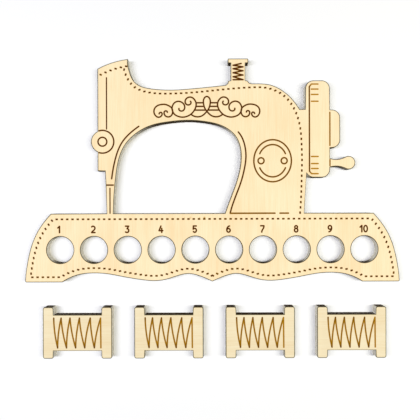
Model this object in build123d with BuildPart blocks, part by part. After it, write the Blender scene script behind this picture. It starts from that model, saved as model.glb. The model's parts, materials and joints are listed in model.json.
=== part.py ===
from build123d import *
import os

# A sewing machine shaped thread rack with four floss bobbins, cut from three-ply birch board.
# The rack is one board: a base bar with ten numbered thread holes and a machine silhouette standing on it.
# The frame: X runs along the row of holes, Y from the foot of the bar up to the spool on the machine, and Z
# out of the engraved face. The origin lies on the back of the board, midway along the row of holes.
# Every board is a lamination of three veneers, so each board is three solids, glued face to face.

os.makedirs("parts", exist_ok=True)

# The plies of a board, from its back to its engraved face
back_ply = 0.9
core_ply = 1.2
face_ply = 0.9
board_thickness = back_ply + core_ply + face_ply

# The burnt lines on the engraved face
line_width = 0.5
line_depth = 0.3
curve_step = 0.8
stitch_length = 1.05
stitch_width = 0.62
stitch_pitch = 2.79

# How far one shape of an outline reaches into the next
lap = 1.5

# The base bar and its row of thread holes
hole_count = 10
hole_pitch = 18.0
hole_diameter = 14.3
end_margin = 18.75
number_band = 12.15
rim_below = 5.25
foot_depth = 4.8
bar_slope = 13.8
foot_corner = 0.8
stitch_inset = 2.85
stitch_drop = 0.12

hole_radius = hole_diameter / 2
half_bar = (hole_count - 1) * hole_pitch / 2 + end_margin
bar_top = hole_radius + number_band
foot_level = -(hole_radius + rim_below + foot_depth)
bar_height = bar_top - foot_level

# The curve of the bar's end, as shares of its slope and of the bar's height above the foot
bar_end_shares = [
    (0, 1), (0.21, 0.91), (0.44, 0.79), (0.633, 0.654), (0.793, 0.485), (0.91, 0.289),
    (0.978, 0.12), (1, 0),
]
# The wavy lower edge from the foot to the tip at the middle, as shares of half the bar and of the foot
wave_shares = [
    (0.801, 0), (0.762, 0.46), (0.711, 0.83), (0.631, 1), (0.55, 0.87), (0.467, 0.54),
    (0.382, 0.25), (0.311, 0.115), (0.245, 0.28), (0.184, 0.68), (0.128, 0.9), (0.075, 0.69),
    (0, 0.04),
]

# The machine on the bar
machine_setback = 38.85
face_width = 8.25
arch_width = 68.05
arch_height = 49.5
column_width = 34.4
arm_depth = 19.6
needle_bar_inset = 4.75
head_base_height = 22.7
head_base_inset = 4.0
shaft_height = 55.3
column_foot_inset = 0.75
column_lean = 3.2

machine_left = -half_bar + machine_setback
arch_left = machine_left + face_width
machine_width = face_width + arch_width + column_width
wheel_left = machine_left + machine_width
arch_top = bar_top + arch_height
arm_top = arch_top + arm_depth

# The opening under the arm, from its left foot round to its right foot, as shares of its width and height
arch_shares = [
    (0, 0), (0.008, 0.195), (0.024, 0.422), (0.054, 0.622), (0.093, 0.735), (0.171, 0.85),
    (0.289, 0.941), (0.446, 0.986), (0.583, 1), (0.72, 0.986), (0.876, 0.923), (0.954, 0.833),
    (0.993, 0.715), (1, 0.569), (0.968, 0.353), (0.91, 0.137), (0.875, 0),
]
# The top of the head, the arm and the shoulder, as shares of the machine's width and of the arm's depth
head_top_shares = [(0, 1.41), (0.037, 1.511), (0.085, 1.605), (0.146, 1.675)]
arm_top_shares = [
    (0.146, 1.675), (0.148, 1.493), (0.156, 1.303), (0.171, 1.112), (0.197, 0.968), (0.238, 0.888),
    (0.301, 0.844), (0.355, 0.834), (0.421, 0.853), (0.517, 0.9), (0.616, 0.958),
]
shoulder_shares = [
    (0.731, 0.997), (0.782, 0.999), (0.83, 0.968), (0.878, 0.853), (0.916, 0.695), (0.945, 0.523),
    (0.973, 0.292),
]

# The knob on the face of the head
knob_inset = 2.55
knob_height = 38.3
knob_diameter = 12.15
knob_ring_diameter = 4.7
knob_open_angle = 107

# The spool on the arm
spool_place_share = 0.6765
spool_height = 13.3
spool_width = 10.9
spool_flange_height = 2.4
spool_shank_width = 7.7
spool_base_height = 2.6
spool_base_sink = 0.9
spool_corner = 0.5
spool_base_shares = [
    (-0.62, 0), (-0.5, 0.4), (-0.49, 0.87), (-0.357, 1), (0.36, 1), (0.47, 0.9), (0.55, 0.45),
    (0.68, 0.33),
]
spool_thread_width = 5.3
spool_thread_drop = 8.64
# The thread's turns from its top end, as shares of half its width and of its drop
spool_thread_shares = [
    (0.63, 0), (-1, 0.108), (1, 0.207), (-1, 0.324), (1, 0.447), (-1, 0.569), (1, 0.712), (-1, 0.815),
    (1, 0.995), (-1, 1),
]

# The handwheel, its hub and its crank handle
wheel_width = 13.0
wheel_height = 51.7
wheel_rise = 18.95
wheel_corner = 4.3
hub_width = 5.45
hub_height = 20.3
hub_rise = 34.75
hub_corner = 4.3
handle_length = 13.5
handle_neck = 4.85
handle_rise = 26.8
handle_knob_diameter = 7.1
# The handle's neck above its axis, from the wheel to the knob, as shares of its length and of the neck
handle_top_shares = [(0, 0.5), (0.13, 0.4), (0.3, 0.38), (0.46, 0.47), (0.58, 0.6), (0.7, 0.73)]
handle_low_shares = [(0.7, -0.73), (0.58, -0.6), (0.43, -0.46), (0.27, -0.4), (0.13, -0.42), (0, -0.5)]

# The burnt lines of the machine, as shares of what they follow
head_row_shares = [(0.0156, 1.249), (0.064, 1.367), (0.112, 1.447), (0.1384, 1.476)]
arm_row_shares = [
    (0.1285, 1.387), (0.137, 1.235), (0.148, 1.112), (0.163, 0.993), (0.182, 0.897), (0.204, 0.832),
    (0.253, 0.758), (0.303, 0.732), (0.353, 0.731), (0.454, 0.757), (0.554, 0.81), (0.656, 0.865),
    (0.756, 0.896), (0.807, 0.884), (0.855, 0.807), (0.898, 0.66), (0.931, 0.45), (0.955, 0.2),
]
column_row_shares = [
    (0.97, 0.972), (0.978, 0.861), (0.981, 0.746), (0.983, 0.575), (0.982, 0.461), (0.978, 0.178),
    (0.973, 0.005),
]
face_line_shares = [
    (0.201, 0.938), (0.132, 0.864), (0.07, 0.767), (0.034, 0.665), (0.012, 0.562), (-0.004, 0.454),
    (-0.012, 0.376),
]
column_line_shares = [
    (0.98, 0.874), (1.009, 0.815), (1.03, 0.731), (1.039, 0.601), (1.026, 0.472), (1, 0.337),
    (0.96, 0.191), (0.915, 0.004),
]
head_line_inset = 4.8
head_line_shares = (0.91, 1.462)
needle_tick_share = 0.307
needle_line_shares = (0.004, 0.273)
foot_line_length = 23.8
foot_gap = 2.7
foot_dash_length = 4.5

# The dial on the column
dial_place_shares = (0.49, 0.564)
dial_width = 20.0
dial_height = 22.4
dial_inner_width = 15.2
dial_inner_height = 17.2
dial_open_angle = 26
dial_screw_spacing = 12.3
dial_screw_diameter = 3.2

# The lines on the wheel, as shares of its height below its top, and the joints of its hub and its handle
rim_line_inset = 2.1
rim_line_shares = (0.065, 0.935)
tick_shares = [0.09, 0.145, 0.215, 0.784, 0.857, 0.908]
end_tick_shares = (0.038, 0.961)
tick_start = 3.2
tick_length = 3.5
hub_line_shares = (0.07, 0.94)
handle_line_shares = (-0.33, 0.33)

# The scrollwork on the arm, as shares of half its width from its middle and of its height
scroll_place_share = 0.526
scroll_lift = 1.75
scroll_half_width = 28.1
scroll_height = 11.0
scroll_end_shares = [
    (-0.904, 0.165), (-0.883, 0.23), (-0.857, 0.22), (-0.85, 0.13), (-0.87, 0.045), (-0.918, 0),
    (-0.971, 0.073), (-1, 0.218), (-1, 0.35), (-0.97, 0.495), (-0.917, 0.583), (-0.851, 0.621),
    (-0.785, 0.617), (-0.718, 0.55), (-0.665, 0.437), (-0.648, 0.291), (-0.658, 0.146),
    (-0.694, 0.039), (-0.741, 0.015), (-0.789, 0.073), (-0.811, 0.194), (-0.802, 0.282),
    (-0.772, 0.306), (-0.749, 0.243),
]
scroll_shares = [
    (-0.529, 0.422), (-0.519, 0.33), (-0.481, 0.296), (-0.44, 0.34), (-0.419, 0.471),
    (-0.434, 0.617), (-0.481, 0.728), (-0.542, 0.767), (-0.605, 0.714), (-0.646, 0.583),
    (-0.66, 0.43), (-0.646, 0.267), (-0.609, 0.131), (-0.544, 0.039), (-0.463, 0), (-0.377, 0.039),
    (-0.305, 0.136), (-0.248, 0.291), (-0.21, 0.485), (-0.205, 0.69), (-0.239, 0.864),
    (-0.292, 0.961), (-0.353, 0.956), (-0.4, 0.859), (-0.411, 0.728), (-0.387, 0.621),
    (-0.343, 0.592), (-0.305, 0.655), (-0.311, 0.767),
]
scroll_drop_shares = [
    (-0.296, 0.131), (-0.245, 0.049), (-0.169, 0.015), (-0.093, 0.063), (-0.036, 0.175),
    (0.002, 0.282), (0.04, 0.437), (0.062, 0.631), (0.063, 0.825), (0.04, 0.947), (0, 1),
]
scroll_rung_shares = [(0.202, 0.066, 0.694), (0.204, 0.055, 0.519), (0.225, 0.033, 0.34)]

# The numbers over the holes, drawn in single strokes, as shares of a number's width and height
number_height = 3.35
number_width = 2.0
number_gap = 2.1
number_shift = 0.33
ten_spread = 2.0
number_line_shares = {
    "1": [[(-0.45, 0.75), (0, 1), (0, 0)]],
    "2": [[(-0.45, 0), (0.45, 0)]],
    "3": [
        [
            (-0.42, 1), (0.42, 1), (0, 0.6), (0.25, 0.56), (0.42, 0.4),
            (0.42, 0.2), (0.25, 0.04), (-0.05, 0), (-0.42, 0.07),
        ],
    ],
    "4": [[(0, 1), (-0.5, 0.27), (0.5, 0.27)], [(0.22, 0.62), (0.22, 0)]],
    "5": [[(0.42, 1), (-0.36, 1), (-0.4, 0.5)]],
    "7": [[(-0.42, 1), (0.42, 1)]],
}
number_curve_shares = {
    "2": [[(-0.42, 0.9), (0, 1), (0.42, 0.78), (0.28, 0.46), (-0.2, 0.2), (-0.45, 0)]],
    "6": [[(0.25, 0.98), (-0.15, 0.85), (-0.42, 0.55), (-0.44, 0.28)]],
    "7": [[(0.42, 1), (0.3, 0.62), (-0.02, 0.3), (-0.15, 0)]],
    "9": [[(-0.25, 0.02), (0.15, 0.15), (0.42, 0.45), (0.44, 0.72)]],
}
# The rings of the round figures, as shares for the middle, the width and the height
number_ring_shares = {
    "6": [(0, 0.29, 0.88, 0.58)],
    "8": [(0, 0.78, 0.72, 0.44), (0, 0.28, 0.88, 0.56)],
    "9": [(0, 0.71, 0.88, 0.58)],
    "0": [(0, 0.5, 0.92, 1)],
}
# The bowl of the five: its middle, width and height as shares, and the angles where it starts and sweeps
five_bowl_shares = (0, 0.31, 0.88, 0.62)
five_bowl_start = -140
five_bowl_sweep = 280

# The bobbins laid in a row below the rack
bobbin_count = 4
bobbin_pitch = 48.7
bobbin_row_shift = 1.1
bobbin_row_drop = 44.2
bobbin_length = 36.8
bobbin_height = 27.4
bobbin_flange = 5.6
bobbin_waist_height = 19.1
bobbin_corner = 1.1
winding_rise = 15.8
winding_bow = 0.45
winding_shares = [-0.985, -0.825, -0.678, -0.455, -0.307, -0.076, 0.084, 0.303, 0.535, 0.703, 0.965, 0.975]


def on_machine(place):
    """A point given as shares of the machine's width and, above the opening, of the arm's depth."""
    return machine_left + place[0] * machine_width, arch_top + place[1] * arm_depth


def on_column(place):
    """A point given as shares of the machine's width and, above the bar, of the opening's height."""
    return machine_left + place[0] * machine_width, bar_top + place[1] * arch_height


def on_arch(place):
    """A point given as shares of the width and the height of the opening under the arm."""
    return arch_left + place[0] * arch_width, bar_top + place[1] * arch_height


def on_handle(place):
    """A point given as shares of the handle's length and, above its axis, of its neck."""
    return wheel_right + place[0] * handle_length, handle_level + place[1] * handle_neck


def curve(points):
    """A smooth open path through points."""
    with BuildLine() as path:
        Spline(*points)
    return path.wire()


def strokes(points):
    """A path of straight strokes from point to point."""
    with BuildLine() as path:
        Polyline(*points)
    return path.wire()


def line_mark(path):
    """The band that a burnt line covers along straight strokes."""
    return SlotArc(path, line_width, mode=Mode.PRIVATE)


def curve_mark(path):
    """The band that a burnt line covers along a curve: a side to the left, one to the right, round ends."""
    count = round(path.length / curve_step) + 1
    half = line_width / 2
    spots = [path.position_at(index / count) for index in range(count + 1)]
    ways = [path.tangent_at(index / count) for index in range(count + 1)]
    left = [spot + way.rotate(Axis.Z, 90) * half for spot, way in zip(spots, ways)]
    right = [spot + way.rotate(Axis.Z, -90) * half for spot, way in zip(spots, ways)]
    with BuildSketch() as mark:
        with BuildLine():
            Spline(*left)
            ThreePointArc(left[-1], spots[-1] + ways[-1] * half, right[-1])
            Spline(*reversed(right))
            ThreePointArc(right[0], spots[0] - ways[0] * half, left[0])
        make_face()
    return mark.sketch


def ring_mark(centre, width, height):
    """The band that a burnt line covers along a closed ellipse."""
    with BuildSketch() as ring:
        with Locations(centre):
            Ellipse((width + line_width) / 2, (height + line_width) / 2)
            Ellipse((width - line_width) / 2, (height - line_width) / 2, mode=Mode.SUBTRACT)
    return ring.sketch


def stitch_marks(path, distances):
    """Short marks at distances along a path, turned along it."""
    places = []
    for distance in distances:
        spot = path.position_at(distance, position_mode=PositionMode.LENGTH)
        way = path.tangent_at(distance, position_mode=PositionMode.LENGTH)
        angle = Vector(1, 0, 0).get_signed_angle(way)
        places.append(Location((spot.X, spot.Y, 0), (0, 0, angle)))
    with BuildSketch() as stitches:
        with Locations(*places):
            Rectangle(stitch_length, stitch_width)
    return stitches.sketch


def open_row(path):
    """A row of stitches from end to end of an open path."""
    gap_count = round(path.length / stitch_pitch)
    return stitch_marks(path, [path.length * index / gap_count for index in range(gap_count + 1)])


# The outline of the base bar, without its holes
with BuildSketch() as bar_outline:
    with BuildLine():
        end_points = [
            (half_bar - bar_slope + u * bar_slope, foot_level + v * bar_height) for u, v in bar_end_shares
        ]
        wave_points = [(u * half_bar, foot_level + v * foot_depth) for u, v in wave_shares]
        Line((0, bar_top), end_points[0])
        Spline(*end_points)
        Line(end_points[-1], wave_points[0])
        Spline(*wave_points)
        mirror(about=Plane.YZ)
    make_face()
    foot_tips = bar_outline.vertices().group_by(Axis.Y)[0].sort_by(Axis.X)
    fillet([foot_tips[0], foot_tips[-1]], radius=foot_corner)

# The outline of the whole rack
spool_middle = machine_left + spool_place_share * machine_width
wheel_middle = bar_top + wheel_rise + wheel_height / 2
wheel_top = bar_top + wheel_rise + wheel_height
wheel_right = wheel_left + wheel_width
handle_level = bar_top + handle_rise
knob_spot = (machine_left + knob_inset, bar_top + knob_height)

with BuildSketch() as rack_outline:
    # The head, arm and column
    with BuildLine():
        head_points = [on_machine(place) for place in head_top_shares]
        arm_points = [on_machine(place) for place in arm_top_shares]
        shoulder_points = [on_machine(place) for place in shoulder_shares]
        head_base = bar_top + head_base_height
        Polyline(
            (machine_left + needle_bar_inset, bar_top - lap),
            (machine_left + needle_bar_inset, bar_top),
            (machine_left + head_base_inset, head_base),
            (machine_left, head_base),
            head_points[0],
        )
        Spline(*head_points)
        Spline(*arm_points)
        Line(arm_points[-1], shoulder_points[0])
        Spline(*shoulder_points)
        Polyline(
            shoulder_points[-1],
            (shoulder_points[-1][0] + line_width, bar_top + shaft_height),
            (wheel_left - column_foot_inset + column_lean, bar_top + shaft_height),
            (wheel_left - column_foot_inset, bar_top),
            (wheel_left - column_foot_inset, bar_top - lap),
            (machine_left + needle_bar_inset, bar_top - lap),
        )
    make_face()
    with BuildLine():
        arch_points = [on_arch(place) for place in arch_shares]
        Spline(*arch_points)
        Polyline(
            arch_points[-1],
            (arch_points[-1][0], bar_top - lap),
            (arch_left, bar_top - lap),
            arch_points[0],
        )
    make_face(mode=Mode.SUBTRACT)
    add(bar_outline.sketch)
    # The knob on the face of the head
    with Locations(knob_spot):
        Circle(knob_diameter / 2)
    # The spool: its base on the arm, its shank and its upper flange
    with BuildLine():
        base_level = arm_top - spool_base_sink
        base_points = [
            (spool_middle + u * spool_width, base_level + v * spool_base_height)
            for u, v in spool_base_shares
        ]
        Polyline(
            *base_points,
            (base_points[-1][0], base_level - lap),
            (base_points[0][0], base_level - lap),
            base_points[0],
        )
    make_face()
    with Locations((spool_middle, arm_top)):
        Rectangle(spool_shank_width, spool_height, align=(Align.CENTER, Align.MIN))
    with Locations((spool_middle, arm_top + spool_height)):
        Rectangle(spool_width, spool_flange_height, align=(Align.CENTER, Align.MAX))
    # The handwheel and its hub
    with Locations((wheel_left + wheel_width / 2, wheel_middle)):
        RectangleRounded(wheel_width, wheel_height, wheel_corner)
    with Locations((wheel_right + hub_width, bar_top + hub_rise + hub_height / 2)):
        RectangleRounded(2 * hub_width, hub_height, hub_corner, align=(Align.MAX, Align.CENTER))
    # The crank handle
    with BuildLine():
        upper = [on_handle(place) for place in handle_top_shares]
        lower = [on_handle(place) for place in handle_low_shares]
        Polyline(
            lower[-1],
            (wheel_right - lap, lower[-1][1]),
            (wheel_right - lap, upper[0][1]),
            upper[0],
        )
        Spline(*upper)
        Line(upper[-1], lower[0])
        Spline(*lower)
    make_face()
    with Locations((wheel_right + handle_length - handle_knob_diameter / 2, handle_level)):
        Circle(handle_knob_diameter / 2)
    spool_tips = rack_outline.vertices().group_by(Axis.Y)[-1]
    fillet(spool_tips, radius=spool_corner)
    # The thread holes
    with GridLocations(hole_pitch, hole_pitch, hole_count, 1):
        Circle(hole_radius, mode=Mode.SUBTRACT)


def bar_stitches():
    """The row round the bar, from two stitches that meet at the tip to a gap at the middle of the top."""
    with BuildSketch() as inner:
        add(bar_outline.sketch)
        offset(amount=-stitch_inset, kind=Kind.INTERSECTION)
        split(bisect_by=Plane.YZ)
    with BuildLine() as half:
        add(inner.edges().sort_by(Axis.X)[1:])
    path = half.wire()
    from_tip = path.position_at(0).Y < path.position_at(1).Y
    count = round(path.length / stitch_pitch + 1 / 2)
    step = path.length / (count - 1 / 2)
    distances = [stitch_width / 2] + [step * index for index in range(1, count)]
    if not from_tip:
        distances = [path.length - distance for distance in distances]
    with BuildSketch() as both:
        add(stitch_marks(path, distances))
        mirror(about=Plane.YZ)
    return both.sketch.moved(Location((0, -stitch_drop)))


def machine_stitches():
    """The rows along the top of the head, and from the arm over the shoulder down the column."""
    head_row = curve([on_machine(place) for place in head_row_shares])
    arm_row = curve(
        [on_machine(place) for place in arm_row_shares] + [on_column(place) for place in column_row_shares]
    )
    return [open_row(head_row), open_row(arm_row)]


def figure_marks(figure, centre, base):
    """The strokes, rings and bowl of one figure, by its middle and its base level."""
    def spot(u, v):
        return centre + u * number_width, base + v * number_height

    marks = []
    for stroke in number_line_shares.get(figure, []):
        marks.append(line_mark(strokes([spot(u, v) for u, v in stroke])))
    for stroke in number_curve_shares.get(figure, []):
        marks.append(curve_mark(curve([spot(u, v) for u, v in stroke])))
    for u, v, width, height in number_ring_shares.get(figure, []):
        marks.append(ring_mark(spot(u, v), width * number_width, height * number_height))
    if figure == "5":
        u, v, width, height = five_bowl_shares
        with BuildLine() as bowl:
            EllipticalCenterArc(
                spot(u, v),
                width * number_width / 2,
                height * number_height / 2,
                five_bowl_start,
                arc_size=five_bowl_sweep,
            )
        marks.append(curve_mark(bowl.wire()))
    return marks


def hole_numbers():
    """The numbers over the holes, a little to the left of their middles."""
    marks = []
    base = hole_radius + number_gap
    for index in range(hole_count):
        number = str(index + 1)
        middle = (index - (hole_count - 1) / 2) * hole_pitch - number_shift
        for place, figure in enumerate(number):
            centre = middle + (place - (len(number) - 1) / 2) * ten_spread
            marks += figure_marks(figure, centre, base)
    return marks


def machine_lines():
    """The long lines that draw the machine's panels, needle and foot."""
    head_line = machine_left + head_line_inset
    needle_left = machine_left + needle_bar_inset
    needle_middle = (needle_left + arch_left) / 2
    tick_level = bar_top + needle_tick_share * arch_height
    column_points = [on_arch(place) for place in column_line_shares]
    foot_start = column_points[-1][0]
    dash_start = foot_start + foot_line_length + foot_gap
    head_low, head_high = [bar_top + share * arch_height for share in head_line_shares]
    needle_low, needle_high = [bar_top + share * arch_height for share in needle_line_shares]
    return [
        line_mark(strokes([(head_line, head_low), (head_line, head_high)])),
        curve_mark(curve([on_arch(place) for place in face_line_shares])),
        line_mark(strokes([(needle_left, tick_level), (arch_left, tick_level)])),
        line_mark(strokes([(needle_middle, needle_low), (needle_middle, needle_high)])),
        curve_mark(curve(column_points)),
        line_mark(strokes([(foot_start, bar_top), (foot_start + foot_line_length, bar_top)])),
        line_mark(strokes([(dash_start, bar_top), (dash_start + foot_dash_length, bar_top)])),
    ]


def knob_lines():
    """The ring of the knob and the part of its rim that lies on the head."""
    with BuildLine() as rim:
        CenterArc(knob_spot, knob_diameter / 2, -knob_open_angle, 2 * knob_open_angle)
    return [curve_mark(rim.wire()), ring_mark(knob_spot, knob_ring_diameter, knob_ring_diameter)]


def dial_lines():
    """The dial: its rim, two inner arcs and two screws."""
    centre = (
        arch_left + arch_width + dial_place_shares[0] * column_width,
        bar_top + dial_place_shares[1] * arch_height,
    )
    marks = [ring_mark(centre, dial_width, dial_height)]
    for start in (dial_open_angle, 180 + dial_open_angle):
        with BuildLine() as arc:
            EllipticalCenterArc(
                centre,
                dial_inner_width / 2,
                dial_inner_height / 2,
                start,
                arc_size=180 - 2 * dial_open_angle,
            )
        marks.append(curve_mark(arc.wire()))
    for side in (-1, 1):
        screw = (centre[0] + side * dial_screw_spacing / 2, centre[1])
        marks.append(ring_mark(screw, dial_screw_diameter, dial_screw_diameter))
    return marks


def wheel_lines():
    """The rim line of the handwheel with its ticks, and the joints to the hub and the handle."""
    rim = wheel_left + rim_line_inset
    start = wheel_left + tick_start
    rim_top, rim_low = [wheel_top - share * wheel_height for share in rim_line_shares]
    first, last = [wheel_top - share * wheel_height for share in end_tick_shares]
    rim_points = [
        (start + tick_length, first),
        (start, first),
        (rim, rim_top),
        (rim, rim_low),
        (start, last),
        (start + tick_length, last),
    ]
    marks = [line_mark(strokes(rim_points))]
    for share in tick_shares:
        level = wheel_top - share * wheel_height
        marks.append(line_mark(strokes([(start, level), (start + tick_length, level)])))
    hub_base = bar_top + hub_rise
    hub_low, hub_high = [hub_base + (1 - share) * hub_height for share in hub_line_shares]
    marks.append(line_mark(strokes([(wheel_right, hub_low), (wheel_right, hub_high)])))
    joint_low, joint_high = [handle_level + share * handle_neck for share in handle_line_shares]
    marks.append(line_mark(strokes([(wheel_right, joint_low), (wheel_right, joint_high)])))
    return marks


def spool_thread():
    """The thread wound on the spool: strokes to and fro that meet at each turn."""
    top = arm_top + spool_height - spool_flange_height - line_width / 2
    turns = [
        (spool_middle + u * spool_thread_width / 2, top - v * spool_thread_drop)
        for u, v in spool_thread_shares
    ]
    return [line_mark(strokes(pair)) for pair in zip(turns, turns[1:])]


def scrollwork():
    """The scrolls on the arm, the same to both sides of the drop in the middle."""
    middle = machine_left + scroll_place_share * machine_width
    base = arch_top + scroll_lift
    marks = []
    for side in (1, -1):
        for table in (scroll_end_shares, scroll_shares, scroll_drop_shares):
            points = [(middle + side * u * scroll_half_width, base + v * scroll_height) for u, v in table]
            marks.append(curve_mark(curve(points)))
        for far, near, v in scroll_rung_shares:
            level = base + v * scroll_height
            marks.append(
                line_mark(
                    strokes([
                        (middle + side * far * scroll_half_width, level),
                        (middle + side * near * scroll_half_width, level),
                    ])
                )
            )
    return marks


def burnt_lines(groups):
    """All marks of a board as one flat figure."""
    with BuildSketch() as figure:
        add([face for mark in groups for face in mark.faces()])
    return figure.sketch


def write_plies(name, spot, outline, marks):
    """Write the three veneers of one board, cut to the outline, with figures of marks burnt into its face."""
    with BuildPart() as back:
        with BuildSketch(Plane((spot[0], spot[1], 0))):
            add(outline)
        extrude(amount=back_ply)
    back.part.label = f"{name}_back_veneer"
    export_step(back.part, f"parts/{name}_back_veneer.step")

    with BuildPart() as core:
        with BuildSketch(Plane((spot[0], spot[1], back_ply))):
            add(outline)
        extrude(amount=core_ply)
    core.part.label = f"{name}_core_veneer"
    export_step(core.part, f"parts/{name}_core_veneer.step")

    with BuildPart() as face:
        with BuildSketch(Plane((spot[0], spot[1], back_ply + core_ply))):
            add(outline)
        extrude(amount=face_ply)
        for figure in marks:
            with BuildSketch(Plane((spot[0], spot[1], board_thickness))):
                add(figure)
            extrude(amount=-line_depth, mode=Mode.SUBTRACT)
    face.part.label = f"{name}_face_veneer"
    export_step(face.part, f"parts/{name}_face_veneer.step")


rack_marks = [
    burnt_lines([bar_stitches(), *machine_stitches()]),
    burnt_lines(hole_numbers()),
    burnt_lines(machine_lines() + knob_lines() + dial_lines() + wheel_lines()),
    burnt_lines(spool_thread() + scrollwork()),
]
write_plies("rack", (0, 0), rack_outline.sketch, rack_marks)

# The bobbin: a flat card with two flanges and a waist for the floss
with BuildSketch() as bobbin_outline:
    with GridLocations(bobbin_length - bobbin_flange, bobbin_height, 2, 1):
        RectangleRounded(bobbin_flange, bobbin_height, bobbin_corner)
    Rectangle(bobbin_length - bobbin_flange, bobbin_waist_height)

# The zigzag burnt across the bobbin's waist, each stroke bowed a little to the left
waist_half = bobbin_length / 2 - bobbin_flange
winding_points = []
for index, share in enumerate(winding_shares):
    side = 1 if index % 2 == 0 else -1
    winding_points.append((share * waist_half, side * winding_rise / 2))
winding_strokes = []
for start, end in zip(winding_points, winding_points[1:]):
    if abs(start[0] - end[0]) < line_width:
        winding_strokes.append(line_mark(strokes([start, end])))
    else:
        with BuildLine() as stroke:
            ThreePointArc(start, ((start[0] + end[0]) / 2 - winding_bow, 0), end)
        winding_strokes.append(curve_mark(stroke.wire()))
bobbin_marks = [burnt_lines(winding_strokes)]

for number in range(1, bobbin_count + 1):
    across = bobbin_row_shift + (number - (bobbin_count + 1) / 2) * bobbin_pitch
    write_plies(f"bobbin_{number}", (across, -bobbin_row_drop), bobbin_outline.sketch, bobbin_marks)
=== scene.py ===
import json
import math

import bmesh
import bpy
from bpy.props import FloatProperty, FloatVectorProperty, IntProperty, PointerProperty
from mathutils import Euler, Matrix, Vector
from mathutils.bvhtree import BVHTree
from mathutils.geometry import delaunay_2d_cdt

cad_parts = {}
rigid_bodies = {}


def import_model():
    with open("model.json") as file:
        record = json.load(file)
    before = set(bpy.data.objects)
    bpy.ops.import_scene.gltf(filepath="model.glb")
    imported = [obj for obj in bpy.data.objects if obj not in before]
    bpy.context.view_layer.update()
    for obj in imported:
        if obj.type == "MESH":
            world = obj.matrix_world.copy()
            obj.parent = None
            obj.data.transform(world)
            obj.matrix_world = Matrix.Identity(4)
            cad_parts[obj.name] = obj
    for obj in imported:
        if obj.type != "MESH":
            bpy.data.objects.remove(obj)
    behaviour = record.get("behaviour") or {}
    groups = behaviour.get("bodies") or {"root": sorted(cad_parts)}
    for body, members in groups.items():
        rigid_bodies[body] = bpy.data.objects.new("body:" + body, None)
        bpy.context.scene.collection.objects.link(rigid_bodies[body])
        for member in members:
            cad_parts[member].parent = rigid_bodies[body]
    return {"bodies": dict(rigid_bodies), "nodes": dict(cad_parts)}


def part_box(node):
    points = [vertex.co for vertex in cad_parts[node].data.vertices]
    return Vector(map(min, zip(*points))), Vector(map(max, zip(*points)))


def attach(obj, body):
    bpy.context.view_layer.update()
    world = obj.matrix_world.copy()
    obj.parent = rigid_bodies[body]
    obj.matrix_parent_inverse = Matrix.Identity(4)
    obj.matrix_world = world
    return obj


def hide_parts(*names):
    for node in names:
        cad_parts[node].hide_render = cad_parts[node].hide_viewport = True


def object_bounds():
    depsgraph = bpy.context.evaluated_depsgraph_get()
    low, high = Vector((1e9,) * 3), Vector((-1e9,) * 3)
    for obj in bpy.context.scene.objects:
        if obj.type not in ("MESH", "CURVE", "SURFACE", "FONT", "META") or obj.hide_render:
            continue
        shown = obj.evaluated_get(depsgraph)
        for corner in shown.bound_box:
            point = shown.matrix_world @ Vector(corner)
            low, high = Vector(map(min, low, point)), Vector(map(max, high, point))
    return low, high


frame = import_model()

bl_info = {
    "name": "Thread Rack Looks",
    "version": (1, 0, 0),
    "blender": (4, 5, 0),
    "location": "View3D > Sidebar > Thread Rack",
    "description": "Dresses a laser-cut thread rack and its four floss bobbins in burnt birch plywood",
    "category": "Object",
}

CAD_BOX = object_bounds()
MM = 0.001
TOUCH = 0.000005
BOARDS = list(frame["bodies"])
FACE_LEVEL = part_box("rack_face_veneer")[1].z
CORE_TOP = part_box("rack_core_veneer")[1].z
CORE_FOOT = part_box("rack_core_veneer")[0].z

# A burnt groove across its edge: the place into the wood, the height in depths, the scorch
GROOVE_PROFILE = (
    (-0.13, -0.95, 1.0),
    (-0.05, -0.7, 1.0),
    (0.0, -0.15, 0.95),
    (0.05, 0.0, 0.87),
    (0.13, 0.0, 0.46),
    (0.28, 0.0, 0.0),
)
# A cut edge: the place into the wood, the height in roundings, the scorch; the dark rim is made wider and
# darker than its char, as painted contact shadow
CUT_PROFILE = (
    (0.0, -1.0, 1.0),
    (0.08, -0.3, 1.0),
    (0.25, 0.0, 1.0),
    (0.35, 0.0, 0.5),
    (0.45, 0.0, 0.0),
)
# How dark the lines are burnt and how far the scorch spreads: the low and the high corner of a box in
# millimetres, the tone, and the spread as a share of the profile's
TONES = (
    ((21.0, 34.0), (43.5, 60.0), 0.75, 1.0),
    ((51.4, 39.0), (52.4, 90.0), 0.8, 0.8),
    ((52.4, 39.0), (57.5, 90.0), 0.0, 0.6),
    ((62.2, 40.0), (63.5, 76.0), 0.3, 0.6),
    ((2.0, 18.9), (42.0, 19.8), 0.6, 1.0),
    ((10.0, 88.0), (17.5, 102.0), 1.0, 1.0),
    ((-57.0, 63.5), (-55.2, 92.5), 1.0, 0.5),
    ((-55.2, 19.0), (-53.6, 33.2), 0.95, 0.5),
)
LINE_TONE = 1.0
LINE_SPREAD = 1.0
# A tone above that of a line is the rim of a cut: char, darkened with painted contact shadow
RIM_CHAR_AND_SHADE_TONE = 2.0
# A bobbin's winding: its tone in the middle, how much darker its turns are, where that starts and how far it
# takes, from the middle in millimetres, and the spread of its scorch
WINDING_TONE = 0.25
TURN_TONE = 0.6
TURN_START = 5.5
TURN_REACH = 2.5
WINDING_SPREAD = 0.9
# Where the last, golden stroke of the winding starts, from the middle in millimetres, its tone and its spread
WINDING_END = 12.05
END_TONE = 0.0
END_SPREAD = 0.8
# Spacing of the mesh on plain wood and its distance from the rims, in millimetres, and how far its rows stand
# apart as a share of the spacing
LATTICE_STEP = 0.9
LATTICE_CLEAR = 0.48
LATTICE_RISE_SHARE = 0.866
# Room for the rounding of a search tree over long thin triangles, in millimetres
SLACK = 0.01
# How far from a rim its two sides are told apart, and the usual span of a line beside a groove, both in
# millimetres
PROBE = 0.05
SPAN = 0.4
# Points of a face closer than this are one, in millimetres
MERGE = 0.0002
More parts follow.
